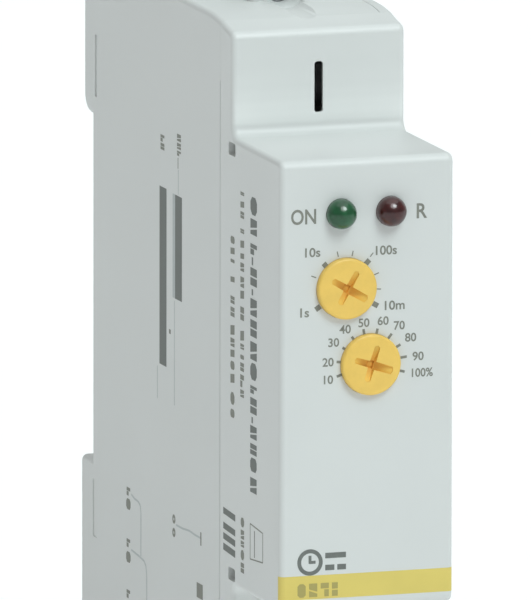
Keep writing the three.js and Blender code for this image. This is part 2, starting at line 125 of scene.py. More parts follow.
def lathe(profile, axis="Y", centre=(0, 0, 0), sides=64, name="tmp"):
    """Closed turned body: (radius, height) pairs from axis to axis, or a closed ring profile."""
    bm = bmesh.new()
    ring = profile[0][0] > 1e-9
    rows = []
    for r, h in profile:
        if r < 1e-9:
            rows.append([bm.verts.new((0, h, 0))])
        else:
            rows.append(
                [
                    bm.verts.new(
                        (
                            r * math.cos(2 * math.pi * k / sides),
                            h,
                            r * math.sin(2 * math.pi * k / sides),
                        )
                    )
                    for k in range(sides)
                ]
            )
    pairs = list(zip(rows, rows[1:])) + ([(rows[-1], rows[0])] if ring else [])
    for p, q in pairs:
        for k in range(sides):
            j = (k + 1) % sides
            if len(p) == 1:
                bm.faces.new((p[0], q[j], q[k]))
            elif len(q) == 1:
                bm.faces.new((p[k], p[j], q[0]))
            else:
                bm.faces.new((p[k], p[j], q[j], q[k]))
    o = new_object(name, bm)
    m = Matrix.Identity(4)
    if axis == "Z":
        m = Matrix.Rotation(math.radians(90), 4, "X")
    elif axis == "X":
        m = Matrix.Rotation(math.radians(-90), 4, "Z")
    o.data.transform(Matrix.Translation(centre) @ m)
    return o


def rod(axis, c, r, a, b, sides=48):
    """Cylinder from a to b along an axis; c is the centre in the other two coordinates."""
    if axis == "Y":
        return lathe([(0, a), (r, a), (r, b), (0, b)], "Y", (c[0], 0, c[1]), sides)
    if axis == "X":
        return lathe([(0, a), (r, a), (r, b), (0, b)], "X", (0, c[0], c[1]), sides)
    return lathe([(0, a), (r, a), (r, b), (0, b)], "Z", (c[0], c[1], 0), sides)


def boolean(o, cutter, op="DIFFERENCE"):
    m = o.modifiers.new("b", "BOOLEAN")
    m.operation, m.object, m.solver = op, cutter, "EXACT"
    dg = bpy.context.evaluated_depsgraph_get()
    me = bpy.data.meshes.new_from_object(o.evaluated_get(dg))
    o.modifiers.clear()
    old = o.data
    o.data = me
    bpy.data.meshes.remove(old)
    cm = cutter.data
    bpy.data.objects.remove(cutter)
    bpy.data.meshes.remove(cm)
    return o


def cut(o, *cutters):
    for c in cutters:
        boolean(o, c)
    return o


def join(o, *others):
    for c in others:
        boolean(o, c, "UNION")
    return o


def merge(name, objects):
    """One object of several separate closed bodies."""
    bm = bmesh.new()
    for o in objects:
        bm.from_mesh(o.data)
        me = o.data
        bpy.data.objects.remove(o)
        bpy.data.meshes.remove(me)
    return new_object(name, bm)


def finish_piece(o, name, material, body, replaces=(), angle=32, weld=True):
    o.name = o.data.name = name
    bm = bmesh.new()
    bm.from_mesh(o.data)
    if weld:
        bmesh.ops.remove_doubles(bm, verts=bm.verts[:], dist=1e-4)
        bmesh.ops.dissolve_degenerate(bm, edges=bm.edges[:], dist=1e-4)
    limit = math.radians(angle)
    for e in bm.edges:
        e.smooth = not (
            len(e.link_faces) != 2 or e.calc_face_angle(math.pi) > limit
        )
    for f in bm.faces:
        f.smooth = True
    bmesh.ops.scale(bm, vec=(MM, MM, MM), verts=bm.verts[:])
    bm.to_mesh(o.data)
    bm.free()
    o.data.materials.clear()
    o.data.materials.append(material)
    w = o.modifiers.new("weighted", "WEIGHTED_NORMAL")
    w.keep_sharp = True
    w.weight = 60
    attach(o, body)
    if replaces:
        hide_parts(*replaces)
    return o


# ------------------------------------------------------------------ materials
def srgb(r, g, b):
    def lin(c):
        c /= 255
        return c / 12.92 if c <= 0.04045 else ((c + 0.055) / 1.055) ** 2.4

    return (lin(r), lin(g), lin(b), 1.0)


def scaled(c, k):
    return (min(1, c[0] * k), min(1, c[1] * k), min(1, c[2] * k), 1.0)


def paint_recess_shade(m, start, end, colour):
    """Painted shade: darker, more saturated colour towards the floor of a recess (distance along Y, mm)."""
    n, link = m.node_tree.nodes, m.node_tree.links.new
    bsdf = n["Principled BSDF"]
    source = bsdf.inputs["Base Color"].links[0].from_socket
    tc = n.new("ShaderNodeTexCoord")
    sep = n.new("ShaderNodeSeparateXYZ")
    link(tc.outputs["Object"], sep.inputs["Vector"])
    mr = n.new("ShaderNodeMapRange")
    mr.inputs["From Min"].default_value = start * MM
    mr.inputs["From Max"].default_value = end * MM
    mr.interpolation_type = "SMOOTHSTEP"
    link(sep.outputs["Y"], mr.inputs["Value"])
    mx = n.new("ShaderNodeMix")
    mx.data_type = "RGBA"
    link(mr.outputs["Result"], mx.inputs["Factor"])
    link(source, mx.inputs["A"])
    mx.inputs["B"].default_value = colour
    link(mx.outputs["Result"], bsdf.inputs["Base Color"])


def material(
    name,
    colour,
    rough=0.5,
    metal=0.0,
    grain=0.00022,
    bump=0.15,
    bump_mm=0.02,
    blotch=0.02,
    blotch_size=0.012,
    rough_var=0.06,
    stretch=(1, 1, 1),
    specks=0.0,
    coat=0.0,
    spec=0.5,
    edge=0.0,
    ior=1.46,
):
    """Moulded or machined surface: fine grain, slow colour drift and uneven gloss."""
    m = bpy.data.materials.new(name)
    m.use_nodes = True
    nt = m.node_tree
    n, link = nt.nodes, nt.links.new
    bsdf = n["Principled BSDF"]
    bsdf.inputs["Metallic"].default_value = metal
    bsdf.inputs["IOR"].default_value = ior
    bsdf.inputs["Specular IOR Level"].default_value = spec
    bsdf.inputs["Coat Weight"].default_value = coat
    bsdf.inputs["Coat Roughness"].default_value = 0.12
    tc = n.new("ShaderNodeTexCoord")
    mp = n.new("ShaderNodeMapping")
    mp.inputs["Scale"].default_value = stretch
    link(tc.outputs["Object"], mp.inputs["Vector"])
    fine = n.new("ShaderNodeTexNoise")
    fine.inputs["Scale"].default_value = 1 / grain
    fine.inputs["Detail"].default_value = 4
    fine.inputs["Roughness"].default_value = 0.6
    slow = n.new("ShaderNodeTexNoise")
    slow.inputs["Scale"].default_value = 1 / blotch_size
    slow.inputs["Detail"].default_value = 3
    link(mp.outputs["Vector"], fine.inputs["Vector"])
    link(tc.outputs["Object"], slow.inputs["Vector"])
    ramp = n.new("ShaderNodeValToRGB")
    ramp.color_ramp.elements[0].position = 0.3
    ramp.color_ramp.elements[1].position = 0.7
    ramp.color_ramp.elements[0].color = scaled(colour, 1 - blotch)
    ramp.color_ramp.elements[1].color = scaled(colour, 1 + blotch)
    link(slow.outputs["Fac"], ramp.inputs["Fac"])
    out = ramp.outputs["Color"]
    mix = n.new("ShaderNodeMix")
    mix.data_type = "RGBA"
    mix.blend_type = "MULTIPLY"
    tone = n.new("ShaderNodeMapRange")
    tone.inputs["From Min"].default_value = 0.3
    tone.inputs["From Max"].default_value = 0.7
    tone.inputs["To Min"].default_value = 1 - 0.5 * blotch - specks
    tone.inputs["To Max"].default_value = 1.0
    link(fine.outputs["Fac"], tone.inputs["Value"])
    mix.inputs["Factor"].default_value = 1.0
    link(out, mix.inputs["A"])
    link(tone.outputs["Result"], mix.inputs["B"])
    out = mix.outputs["Result"]
    if edge > 0:
        # slightly paler convex edges: a painted edge highlight
        geo = n.new("ShaderNodeNewGeometry")
        er = n.new("ShaderNodeMapRange")
        er.inputs["From Min"].default_value = 0.52
        er.inputs["From Max"].default_value = 0.62
        er.inputs["To Min"].default_value = 0.0
        er.inputs["To Max"].default_value = edge
        link(geo.outputs["Pointiness"], er.inputs["Value"])
        em = n.new("ShaderNodeMix")
        em.data_type = "RGBA"
        link(er.outputs["Result"], em.inputs["Factor"])
        link(out, em.inputs["A"])
        em.inputs["B"].default_value = scaled(colour, 1.18)
        out = em.outputs["Result"]
    link(out, bsdf.inputs["Base Color"])
    rr = n.new("ShaderNodeMapRange")
    rr.inputs["From Min"].default_value = 0.3
    rr.inputs["From Max"].default_value = 0.7
    rr.inputs["To Min"].default_value = max(0.02, rough - rough_var)
    rr.inputs["To Max"].default_value = min(1, rough + rough_var)
    link(slow.outputs["Fac"], rr.inputs["Value"])
    link(rr.outputs["Result"], bsdf.inputs["Roughness"])
    bp = n.new("ShaderNodeBump")
    bp.inputs["Strength"].default_value = bump
    bp.inputs["Distance"].default_value = bump_mm * MM
    link(fine.outputs["Fac"], bp.inputs["Height"])
    link(bp.outputs["Normal"], bsdf.inputs["Normal"])
    return m


GREY = srgb(212, 214, 212)
M_BODY = material("plastic_grey", GREY, rough=0.5, blotch=0.012, bump=0.22)
M_FRONT = material("plastic_grey_front", GREY, rough=0.46, blotch=0.012, bump=0.18)


def paint_shoulder_bounce_light(m, steps, gain):
    """Painted bounce light: paler colour on the shoulder face, strongest near its foot; steps are (object Z in mm,
    share of the gain).
    """
    n, link = m.node_tree.nodes, m.node_tree.links.new
    bsdf = n["Principled BSDF"]
    source = bsdf.inputs["Base Color"].links[0].from_socket
    tc = n.new("ShaderNodeTexCoord")
    sep = n.new("ShaderNodeSeparateXYZ")
    link(tc.outputs["Object"], sep.inputs["Vector"])
    lo_z, hi_z = min(z for z, _ in steps), max(z for z, _ in steps)
    along = n.new("ShaderNodeMapRange")
    along.inputs["From Min"].default_value = lo_z * MM
    along.inputs["From Max"].default_value = hi_z * MM
    link(sep.outputs["Z"], along.inputs["Value"])
    ramp = n.new("ShaderNodeValToRGB")
    ramp.color_ramp.interpolation = "EASE"
    for k, (zz, v) in enumerate(steps):
        at = (zz - lo_z) / (hi_z - lo_z)
        if k < 2:
            e = ramp.color_ramp.elements[k]
            e.position = at
        else:
            e = ramp.color_ramp.elements.new(at)
        e.color = (v, v, v, 1)
    link(along.outputs["Result"], ramp.inputs["Fac"])
    up = n.new("ShaderNodeMapRange")
    up.inputs["To Min"].default_value = 1.0
    up.inputs["To Max"].default_value = 1 + gain
    link(ramp.outputs["Color"], up.inputs["Value"])
    back = n.new("ShaderNodeMapRange")
    back.inputs["From Min"].default_value = -47.2 * MM
    back.inputs["From Max"].default_value = -45.6 * MM
    link(sep.outputs["Y"], back.inputs["Value"])
    # not on the side walls
    across = n.new("ShaderNodeMath")
    across.operation = "ABSOLUTE"
    link(sep.outputs["X"], across.inputs[0])
    inside = n.new("ShaderNodeMapRange")
    inside.inputs["From Min"].default_value = 8.97 * MM
    inside.inputs["From Max"].default_value = 8.6 * MM
    link(across.outputs[0], inside.inputs["Value"])
    both = n.new("ShaderNodeMath")
    both.operation = "MULTIPLY"
    link(back.outputs["Result"], both.inputs[0])
    link(inside.outputs["Result"], both.inputs[1])
    mx = n.new("ShaderNodeMix")
    mx.data_type = "RGBA"
    mx.blend_type = "MULTIPLY"
    link(both.outputs[0], mx.inputs["Factor"])
    link(source, mx.inputs["A"])
    link(up.outputs["Result"], mx.inputs["B"])
    link(mx.outputs["Result"], bsdf.inputs["Base Color"])


# painted bounce light: the shoulder above the nose is made paler in colour instead of lit by bounce from the nose top
paint_shoulder_bounce_light(
    M_FRONT,
    (
        (22, 0.0),
        (33.2, 0.1),
        (23.3, 0.05),
        (24.0, 0.9),
        (24.6, 1.0),
        (25.4, 0.88),
        (26.4, 0.62),
        (27.6, 0.4),
        (30, 0.2),
    ),
    0.22,
)
M_CLIP = material(
    "plastic_clip", srgb(192, 200, 199), rough=0.42, blotch=0.02, bump=0.15
)
M_DIAL = material(
    "plastic_yellow",
    srgb(237, 197, 99),
    rough=0.42,
    blotch=0.04,
    blotch_size=0.0016,
    bump=0.16,
    spec=0.4,
)
# dial slot floors: the yellow with painted shade that deepens towards the floor
M_DIAL_SLOT_SHADED = material(
    "plastic_yellow_slot_painted_shade",
    srgb(238, 196, 92),
    rough=0.5,
    blotch=0.04,
    blotch_size=0.0012,
    bump=0.2,
    spec=0.3,
)
paint_recess_shade(M_DIAL_SLOT_SHADED, -60.95, -60.2, srgb(230, 172, 74))
M_STEEL = material(
    "zinc_steel",
    (0.62, 0.63, 0.64, 1),
    rough=0.34,
    metal=1.0,
    grain=0.00012,
    bump=0.3,
    bump_mm=0.01,
    blotch=0.08,
    blotch_size=0.0015,
    rough_var=0.1,
    specks=0.05,
)
M_SPRING = material(
    "spring_steel",
    (0.5, 0.51, 0.52, 1),
    rough=0.25,
    metal=1.0,
    grain=0.00015,
    bump=0.2,
    bump_mm=0.005,
    blotch=0.06,
    blotch_size=0.002,
    stretch=(1, 1, 0.2),
)
M_COPPER = material(
    "copper",
    (0.72, 0.36, 0.2, 1),
    rough=0.3,
    metal=1.0,
    grain=0.0002,
    bump=0.2,
    bump_mm=0.005,
    blotch=0.12,
    blotch_size=0.002,
    stretch=(1, 1, 0.15),
)
M_BRASS = material(
    "brass",
    (0.75, 0.55, 0.25, 1),
    rough=0.28,
    metal=1.0,
    grain=0.0002,
    bump=0.2,
    bump_mm=0.005,
    blotch=0.1,
    blotch_size=0.002,
)
M_BLACK = material(
    "plastic_black", (0.022, 0.023, 0.025, 1), rough=0.4, blotch=0.1, bump=0.3
)
M_BLUE = material(
    "plastic_blue", (0.03, 0.09, 0.28, 1), rough=0.3, blotch=0.08, bump=0.1
)
M_RESIN_RED = material(
    "resin_red", (0.42, 0.08, 0.04, 1), rough=0.25, blotch=0.1, bump=0.2, coat=0.3
)
M_RESIN_BLUE = material(
    "resin_blue", (0.03, 0.12, 0.32, 1), rough=0.3, blotch=0.1, bump=0.2, coat=0.3
)
M_CREAM = material("plastic_cream", (0.78, 0.74, 0.62, 1), rough=0.5, blotch=0.04)
M_BOARD = material(
    "solder_mask",
    (0.02, 0.13, 0.05, 1),
    rough=0.3,
    blotch=0.15,
    blotch_size=0.0008,
    grain=0.0004,
    bump=0.5,
    coat=0.4,
)
M_INK = material(
    "ink_grey",
    srgb(133, 134, 125),
    rough=0.6,
    blotch=0.1,
    blotch_size=0.0006,
    grain=0.0001,
    bump=0.1,
    specks=0.12,
)
M_INK_DARK = material(
    "ink_dark",
    srgb(112, 116, 112),
    rough=0.6,
    blotch=0.08,
    blotch_size=0.0008,
    grain=0.0001,
    bump=0.1,
    specks=0.1,
)
M_INK_LIGHT = material(
    "ink_pale",
    srgb(182, 188, 187),
    rough=0.6,
    blotch=0.05,
    blotch_size=0.0008,
    grain=0.0001,
    bump=0.1,
)
M_INK_OLIVE = material("ink_olive", srgb(168, 156, 92), rough=0.6, blotch=0.03, bump=0.05)
M_STRIPE = material(
    "ink_yellow",
    srgb(219, 199, 106),
    rough=0.5,
    blotch=0.03,
    blotch_size=0.004,
    grain=0.00015,
    bump=0.12,
)


def lens_material(name, deep, body):
    """Tinted clear epoxy, clouded between a deep and a lighter tint, unlit."""
    m = bpy.data.materials.new(name)
    m.use_nodes = True
    nt = m.node_tree
    n, link = nt.nodes, nt.links.new
    b = n["Principled BSDF"]
    b.inputs["Roughness"].default_value = 0.3
    b.inputs["Specular IOR Level"].default_value = 0.22
    b.inputs["IOR"].default_value = 1.54
    b.inputs["Coat Weight"].default_value = 0.7
    b.inputs["Coat Roughness"].default_value = 0.12
    b.inputs["Subsurface Weight"].default_value = 0.0
    tc = n.new("ShaderNodeTexCoord")
    cloud = n.new("ShaderNodeTexNoise")
    cloud.inputs["Scale"].default_value = 900
    cloud.inputs["Detail"].default_value = 3
    link(tc.outputs["Object"], cloud.inputs["Vector"])
    lw = n.new("ShaderNodeLayerWeight")
    lw.inputs["Blend"].default_value = 0.35
    add = n.new("ShaderNodeMath")
    add.operation = "MULTIPLY_ADD"
    link(cloud.outputs["Fac"], add.inputs[0])
    add.inputs[1].default_value = 0.9
    add.inputs[2].default_value = -0.05
    ramp = n.new("ShaderNodeValToRGB")
    ramp.color_ramp.elements[0].position = 0.25
    ramp.color_ramp.elements[0].color = deep
    ramp.color_ramp.elements[1].position = 0.7
    ramp.color_ramp.elements[1].color = body
    link(add.outputs[0], ramp.inputs["Fac"])
    link(ramp.outputs["Color"], b.inputs["Base Color"])
    bp = n.new("ShaderNodeBump")
    bp.inputs["Strength"].default_value = 0.05
    bp.inputs["Distance"].default_value = 0.00002
    link(cloud.outputs["Fac"], bp.inputs["Height"])
    link(bp.outputs["Normal"], b.inputs["Normal"])
    n.remove(lw)
    return m


M_GREEN = lens_material("epoxy_green", srgb(12, 62, 34), srgb(30, 98, 58))
M_RED = lens_material("epoxy_red", srgb(44, 8, 9), srgb(84, 26, 24))

# --------------------------------------------------------------- dimensions, mm
HALF_W, NOSE_Y, NOSE_Z = 9.0, -60.3, 22.5
SH_Y, SH_Z = -45.1, 33.0
SEAM_Y = -41.38
TIER1_Z, TIER2_Y = 34.0, -27.0
SPLIT_X = 7.6
CHANNEL_R, CHANNEL_Z = 2.15, 35.55  # shallow groove that leads a screwdriver in
GAP = 0.012
LED_X = (-2.74, 2.42)

# --------------------------------------------------------------- front cover
def fillet(points, radii, seg=6):
    """Replace each corner that has a radius by an arc of short sides."""
    out = []
    for i, (y, z) in enumerate(points):
        r = radii.get(i, 0)
        if not r:
            out.append((y, z))
            continue
        c = Vector((y, z))
        a = (Vector(points[i - 1]) - c).normalized()
        b = (Vector(points[(i + 1) % len(points)]) - c).normalized()
        half = a.angle(b) / 2
        mid = c + (a + b).normalized() * (r / math.sin(half))
        p, q = c + a * (r / math.tan(half)) - mid, c + b * (r / math.tan(half)) - mid
        for k in range(seg + 1):
            t = k / seg
            full = p.angle(q)
            w = (p * math.sin((1 - t) * full) + q * math.sin(t * full)) / math.sin(full)
            out.append((mid.x + w.x, mid.y + w.y))
    return out


FRONT_PROFILE = fillet(
    [
        (SEAM_Y - GAP, 33.62),
        (-43.25, 33.22),
        (SH_Y, SH_Z - 0.1),
        (SH_Y, NOSE_Z),
        (NOSE_Y, NOSE_Z),
        (NOSE_Y, -NOSE_Z),
        (SH_Y, -NOSE_Z),
        (SH_Y, -SH_Z + 0.1),
        (-43.25, -33.22),
        (SEAM_Y - GAP, -33.62),
    ],
    {2: 0.9, 3: 1.15, 4: 0.9, 5: 0.9, 6: 1.15, 7: 0.9},
)


def pick_front(p, q):
    if abs(p.x - q.x) > 1:
        return False
    return not (abs(p.y - (SEAM_Y - GAP)) < 1e-3 and abs(q.y - (SEAM_Y - GAP)) < 1e-3)


front = prism(FRONT_PROFILE, "X", -HALF_W, HALF_W, 0.6, pick_front, 6)
front = cut(
    front,
    prism(
        [
            (-30, 31.9),
            (-43.8, 31.7),
            (-43.8, 21.2),
            (-58.8, 21.2),
            (-58.8, -21.2),
            (-43.8, -21.2),
            (-43.8, -31.7),
            (-30, -31.9),
        ],
        "X",
        -7.8,
        7.8,
    ),
    rod("Y", (-2.2, 9.6), 3.075, -63, -58, 96),
    rod("Y", (0.3, 1.9), 3.075, -63, -58, 96),
    rod("Y", (LED_X[0], 17.07), 1.52, -63, -58, 64),
    rod("Y", (LED_X[1], 17.07), 1.52, -63, -58, 64),
)
for s in (1, -1):
    slot_pick = lambda p, q: abs(p.y - q.y) > 0.5
    front = cut(
        front,
        rod("Y", (0, s * CHANNEL_Z), CHANNEL_R, -47, -40, 96),
        block(-0.45, 0.45, -47, -43, min(s * 24.6, s * 29.7), max(s * 24.6, s * 29.7), 0.28, slot_pick, 4),
        block(-1.6, 1.9, SH_Y + 0.35, -43, min(s * 24.2, s * 30.1), max(s * 24.2, s * 30.1)),
        block(-10, 10, -46.15, -44.0, min(s * 20.7, s * 22.0), max(s * 20.7, s * 22.0), 0.25, lambda p, q: abs(p.x - q.x) > 1, 3),
    )
    for side in (1, -1):
        x0, x1 = (6.7, 7.81) if side > 0 else (-7.81, -6.7)
        front = cut(
            front, block(x0, x1, -46.2, -43.5, min(s * 19.2, s * 22.1), max(s * 19.2, s * 22.1))
        )
finish_piece(front, "front_cover_shell", M_FRONT, "housing", ["front_cover"])

# --------------------------------------------------------------------- housing
OUTLINE = fillet(
    [
        (SEAM_Y + GAP, 33.62),
        (-40.6, 33.75),
        (-38.8, 33.94),
        (-37.0, TIER1_Z),
        (TIER2_Y, TIER1_Z),
        (TIER2_Y, 43.6),
        (-25.6, 45),
        (1.2, 45),
        (2.7, 43.5),
        (2.7, 17.6),
        (0, 17.6),
        (0, -17.6),
        (3.7, -17.6),
        (3.7, -43.5),
        (2.2, -45),
        (-25.6, -45),
        (TIER2_Y, -43.6),
        (TIER2_Y, -TIER1_Z),
        (-37.0, -TIER1_Z),
        (-38.8, -33.94),
        (-40.6, -33.75),
        (SEAM_Y + GAP, -33.62),
    ],
    {9: 1.9, 12: 0.66},
)
CAVITY = [
    (-43, 30.9),
    (-28.3, 30.9),
    (-25.7, 32.2),
    (-25.7, 43.0),
    (-25.0, 43.7),
    (-2.0, 43.7),
    (-1.3, 43.0),
    (-1.3, -43.0),
    (-2.0, -43.7),
    (-25.0, -43.7),
    (-25.7, -43.0),
    (-25.7, -32.2),
    (-28.3, -30.9),
    (-43, -30.9),
]


def pick_side(x):
    def pick(p, q):
        on = abs(p.x - x) < 1e-3 and abs(q.x - x) < 1e-3
        seam = abs(p.y - (SEAM_Y + GAP)) < 1e-3 and abs(q.y - (SEAM_Y + GAP)) < 1e-3
        return on and not seam

    return pick


def latch(side, s):
    x = (lambda a, b: (a, b)) if side > 0 else (lambda a, b: (-b, -a))
    z = lambda a, b: (a, b) if s > 0 else (-b, -a)
    return [
        block(*x(7.0, 7.5), -45.9, -38, *z(19.5, 21.8)),
        block(*x(7.4, 8.2), -45.6, -44.8, *z(21.0, 21.7)),
        block(*x(7.4, 7.9), -40.6, -38, *z(19.5, 21.8)),
    ]


body = prism(OUTLINE, "X", -HALF_W, SPLIT_X - 0.03, 0.58, pick_side(-HALF_W), 6)
body = cut(body, prism(CAVITY, "X", -7.7, 12))
WIRE_MID, WIRE_SIDE = -21.15, -14.55
for s in (1, -1):
    z = lambda a, b: (a, b) if s > 0 else (-b, -a)
    body = cut(body, rod("Y", (0, s * CHANNEL_Z), CHANNEL_R, -42, -32.6, 96))
    body = join(
        body,
        block(
            -3.4,
            3.4,
            -33.6,
            -26.6,
            *z(31.2, 38.2),
            0.7,
            lambda p, q: max(p.y, q.y) < -33 and min(s * p.z, s * q.z) > 30
            and not (abs(p.z - s * 31.2) < 1e-3 and abs(q.z - s * 31.2) < 1e-3)
            or (abs(p.z - s * 38.2) < 1e-3 and abs(q.z - s * 38.2) < 1e-3 and abs(p.x - q.x) < 1e-3),
            4,
        ),
    )
    zm = s * 34.8
    body = cut(
        body,
        lathe(
            [(0, -35), (2.2, -35), (2.2, -33.62), (1.95, -33.52), (1.68, -33.3), (1.42, -32.9), (1.35, -32.6), (1.35, -32), (0, -32)],
            "Y",
            (0, 0, s * 35.0),
            64,
        ),
        rod("Y", (0, zm), 2.6, -32.3, -29.6),
        block(-2.7, 2.7, -30.2, -25.6, zm - 2.5, zm + 2.5),
    )
    for x in (-4.7, 4.7):
        body = cut(
            body,
            lathe(
                [(0, -28), (2.5, -28), (2.5, -27.02), (2.3, -26.95), (1.95, -26.6), (1.95, -25), (0, -25)],
                "Y",
                (x, 0, s * 39.9),
                64,
            ),
        )
    for x, y in ((0, WIRE_MID), (-4.7, WIRE_SIDE), (4.7, WIRE_SIDE)):
        body = cut(
            body,
            block(x - 2.25, x + 2.25, y - 2.25, y + 2.25, *z(42, 44.8), 0.5, lambda p, q: abs(p.z - q.z) > 1, 3),
            # flared mouth
            prism(
                [(y - 2.25, 44.3), (y + 2.25, 44.3), (y + 2.75, 45.1), (y - 2.75, 45.1)]
                if s > 0
                else [(y - 2.25, -44.3), (y - 2.75, -45.1), (y + 2.75, -45.1), (y + 2.25, -44.3)],
                "X",
                x - 2.3,
                x + 2.3,
            ),
        )
    for y in (-36.5, -5.2):
        body = join(body, rod("X", (y, s * 26.0), 2.2, -7.8, 7.4, 32))
        body = cut(body, rod("X", (y, s * 26.0), 1.2, 4.6, 9, 32))
    body = join(body, *latch(-1, s))
    body = cut(
        body,
        block(-10, -8.86, -1.65, -1.0, 19.6, 25.9)
        if s > 0
        else block(-10, -8.9, -1.75, -0.3, -25.4, -19.5, 0.3, lambda p, q: abs(p.x - q.x) > 0.5, 3),
    )
    body = cut(body, block(-5.2, 5.2, -0.3, 0.5, *z(15.3, 17.6)))
body = cut(body, block(-10, -8.82, SEAM_Y - 1, SEAM_Y + 0.16, -28, 27.6))
for y in (-36, -12):
    body = join(body, block(-7.8, -7.0, y, y + 1.2, -20, 20))
body = join(
    body,
    prism(
        [(1.25, 18.6), (1.25, 16.6), (1.55, 16.3), (2.2, 16.3), (2.68, 16.8), (2.68, 19.2)],
        "X",
        -5,
        5,
    ),
)
body = cut(
    body,
    block(-5.4, 5.4, 0, 1.6, -46, -17.59),
    block(-4.2, 4.2, -0.0, 4.5, -46, -17.59),
)
body = join(body, block(-1.2, 1.2, -0.2, 3.1, -39.4, -38.2, 0.2, lambda p, q: max(p.y, q.y) > 3))
finish_piece(body, "housing_shell", M_BODY, "housing", ["main_housing"])

# ------------------------------------------------------------------ side cover
cover = prism(OUTLINE, "X", SPLIT_X + 0.03, HALF_W, 0.58, pick_side(HALF_W), 6)
for s in (1, -1):
    z = lambda a, b: (a, b) if s > 0 else (-b, -a)
    for y in (-36.5, -5.2):
        cover = join(
            cover,
            lathe([(0, 5.2), (0.7, 5.2), (0.9, 5.4), (0.9, 7.8), (0, 7.8)], "X", (0, y, s * 26.0), 32),
        )
    cover = join(cover, *latch(1, s))
    cover = cut(cover, block(8.85, 10, -1.65, -0.95, *z(19.6, 25.9) if s > 0 else z(19.3, 25.3)))
cover = cut(cover, block(8.82, 10, SEAM_Y - 1, SEAM_Y + 0.16, -28, 27.6))
finish_piece(cover, "side_cover_shell", M_BODY, "housing", ["side_cover"])


# ----------------------------------------------------------------------- dials
def dial(name, cx, cz, pointer, node, body_name):
    r, f = 3.05, -61.0
    prof = [(0, f)]
    prof += [(r - 0.28, f)]
    for k in range(1, 6):
        a = k / 5 * math.pi / 2
        prof.append((r - 0.28 + 0.28 * math.sin(a), f + 0.28 - 0.28 * math.cos(a)))
    prof += [(r, -58.1), (1.15, -58.1), (1.15, -53.4), (0, -53.4)]
    o = lathe(prof, "Y", (0, 0, 0), 96)
    # four recessed arms, deepest in the middle; the pointer arm is the longest
    for k, (length, half) in enumerate(((2.12, 0.44), (1.85, 0.34), (1.75, 0.36), (1.6, 0.36))):
        a = math.radians(pointer + 90 * k)
        ca, sa = math.cos(a), math.sin(a)
        bm = bmesh.new()
        pts = []
        for u, v, d in (
            (-0.35, -half, 0.95),
            (-0.35, half, 0.95),
            (length, half * 0.85, 0.14),
            (length, -half * 0.85, 0.14),
            (length + 0.16, 0, 0.08),
        ):
            for y in (f - 0.5, f + d):
                pts.append(bm.verts.new((u * ca - v * sa, y, u * sa + v * ca)))
        bmesh.ops.convex_hull(bm, input=pts)
        o = boolean(o, new_object("tmp", bm))
    o.data.transform(Matrix.Translation((cx, 0, cz)))
    finish_piece(o, name, M_DIAL, body_name, [node])
    o.data.materials.append(M_DIAL_SLOT_SHADED)
    # faces on the slot floors take the yellow with painted shade
    for p in o.data.polygons:
        c = p.center / MM
        away = math.hypot(c.x - cx, c.z - cz)
        if c.y > f + 0.004 and c.y < f + 1.2 and away < 2.72:
            p.material_index = 1


dial("range_dial_knob", -2.2, 9.6, -30, "range_dial", "range_knob")
dial("fine_dial_knob", 0.3, 1.9, -18, "fine_dial", "fine_knob")

# ----------------------------------------------------------------------- lamps
for name, x, mat, node, sl in (
    ("power_lamp_green", LED_X[0], M_GREEN, "power_led_green", "green_lens"),
    ("relay_lamp_red", LED_X[1], M_RED, "relay_led_red", "red_lens"),
):
    tip, r = -62.08, 1.5
    prof = [(0, tip)]
    for k in range(1, 17):
        a = k / 16 * math.pi / 2
        prof.append((r * math.sin(a), tip + r - r * math.cos(a)))
    prof += [(r, -57.2), (1.9, -57.2), (1.9, -56.2), (0, -56.2)]
    lamp = lathe(prof, "Y", (0, 0, 0), 64)
    lamp = join(
        lamp,
        block(-0.9, -0.4, -56.3, -52.9, -0.25, 0.25),
        block(0.4, 0.9, -56.3, -52.9, -0.25, 0.25),
    )
    lamp.data.transform(Matrix.Translation((x, 0, 17.07)))
    finish_piece(lamp, name, mat, "housing", [node])

# ---------------------------------------------------------------------- screws
for row, s in (("top", 1), ("bottom", -1)):
    for place, x, y, zc in (
        ("left", -4.7, -25.4, 39.9),
        ("right", 4.7, -25.4, 39.9),
        ("middle", 0.0, -32.0, 34.8),
    ):
        prof = [(0, 0), (1.9, 0), (2.15, 0.08), (2.3, 0.3), (2.3, 1.8), (1.45, 1.8)]
        h = 1.9
        while h < 7.6:  # thread crests
            prof += [(1.3, h + 0.12), (1.45, h + 0.37)]
            h += 0.5
        prof += [(1.1, 8.2), (0, 8.2)]
        sc = lathe(prof, "Y", (0, 0, 0), 48)
        sc = cut(
            sc,
            block(-1.55, 1.55, -1, 0.95, -0.33, 0.33),
            block(-0.33, 0.33, -1, 0.95, -1.55, 1.55),
            lathe([(0, -1), (0.75, -1), (0.75, 0.3), (0.35, 1.1), (0, 1.1)], "Y", (0, 0, 0), 24),
        )
        sc.data.transform(
            Matrix.Translation((x, y, s * zc)) @ Matrix.Rotation(math.pi / 7, 4, "Y")
        )
        finish_piece(
            sc,
            f"screw_{row}_{place}_piece",
            M_STEEL,
            f"screw_{row}_{place}",
            [f"terminal_screw_{row}_{place}"],
        )

